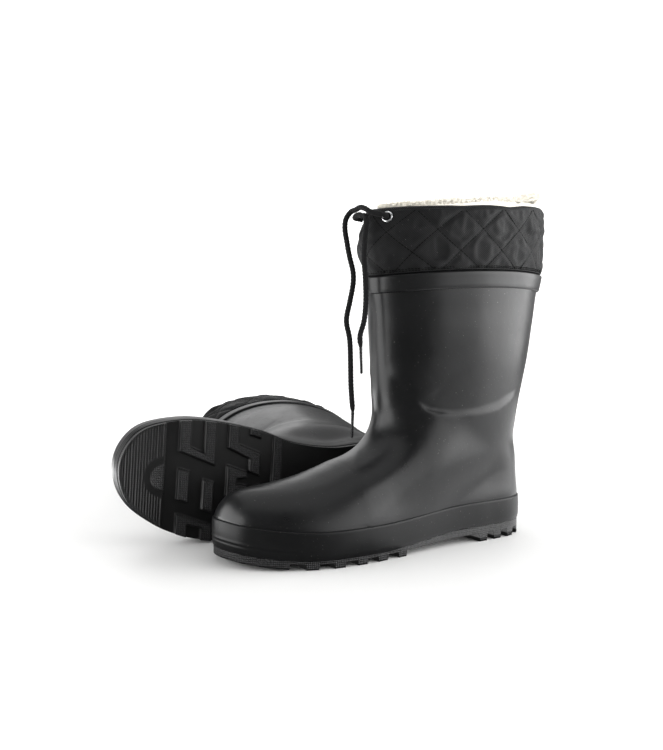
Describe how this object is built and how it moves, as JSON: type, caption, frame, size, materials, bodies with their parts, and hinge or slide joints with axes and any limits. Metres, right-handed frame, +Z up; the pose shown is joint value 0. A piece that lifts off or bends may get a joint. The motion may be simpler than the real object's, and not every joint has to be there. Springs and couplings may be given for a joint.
{
  "type": "winter rubber boots",
  "caption": "Pair of mid-calf lined rubber boots with a lugged sole, quilted drawstring collar and fleece lining; one stands, one lies on its side.",
  "frame": {"origin": "under the left boot's heel, on the bottom of its front heel lug, at the middle of the lug", "axes": "+Z up; the left boot's toe points to -Y and its outer side to +X; the right boot lies on its outer side towards -X"},
  "size_m": [0.4037, 0.3688, 0.3],
  "materials": {
    "upper_rubber": "satin-matt moulded rubber",
    "band_rubber": "satin rubber",
    "foxing_rubber": "satin rubber",
    "sole_rubber": "matt stippled rubber",
    "quilted_nylon": "quilted ribbed nylon",
    "fleece": "long pile fleece",
    "felt": "pressed felt",
    "fibreboard": "raw fibreboard",
    "stiffener": "raw thermoplastic sheet",
    "eyelet_metal": "polished",
    "cord": "round braid",
    "aglet_plastic": "glossy"
  },
  "bodies": {
    "left_boot": {"left_outsole": "sole_rubber", "left_foxing": "foxing_rubber", "left_upper": "upper_rubber", "left_top_band": "band_rubber", "left_back_strip": "upper_rubber", "left_heel_counter": "stiffener", "left_toe_puff": "stiffener", "left_insole_board": "fibreboard", "left_lining": "fleece", "left_collar": "quilted_nylon", "left_outer_eyelet": "eyelet_metal", "left_inner_eyelet": "eyelet_metal", "left_hem_cord": "cord", "left_outer_cord_crossing": "cord", "left_inner_cord_crossing": "cord"},
    "left_footbed": {"left_footbed": "felt"},
    "left_long_tail": {"left_long_cord_tail": "cord", "left_long_cord_aglet": "aglet_plastic"},
    "left_short_tail": {"left_short_cord_tail": "cord", "left_short_cord_aglet": "aglet_plastic"},
    "right_boot": {"right_outsole": "sole_rubber", "right_foxing": "foxing_rubber", "right_upper": "upper_rubber", "right_top_band": "band_rubber", "right_back_strip": "upper_rubber", "right_heel_counter": "stiffener", "right_toe_puff": "stiffener", "right_insole_board": "fibreboard", "right_lining": "fleece", "right_collar": "quilted_nylon", "right_outer_eyelet": "eyelet_metal", "right_inner_eyelet": "eyelet_metal"},
    "right_footbed": {"right_footbed": "felt"}
  },
  "joints": [
    {"name": "right_boot_lift", "type": "slide", "parent": "left_boot", "child": "right_boot", "axis": [0, 0, 1], "range_m": [0, 0.15]},
    {"name": "left_footbed_lift", "type": "hinge", "parent": "left_boot", "child": "left_footbed", "pos_m": [0, -0.214, 0.022], "axis": [1, 0, 0], "range_deg": [0, 7]},
    {"name": "right_footbed_lift", "type": "hinge", "parent": "right_boot", "child": "right_footbed", "pos_m": [-0.10853, -0.2619, 0.05745], "axis": [0.0306, 0.052, 0.9982], "range_deg": [0, 7]},
    {"name": "left_long_tail_swing", "type": "hinge", "parent": "left_boot", "child": "left_long_tail", "pos_m": [-0.0092, -0.1043, 0.2829], "axis": [-1, 0, 0], "range_deg": [0, 75]},
    {"name": "left_short_tail_swing", "type": "hinge", "parent": "left_boot", "child": "left_short_tail", "pos_m": [0.0056, -0.1039, 0.2773], "axis": [-1, 0, 0], "range_deg": [0, 75]}
  ]
}
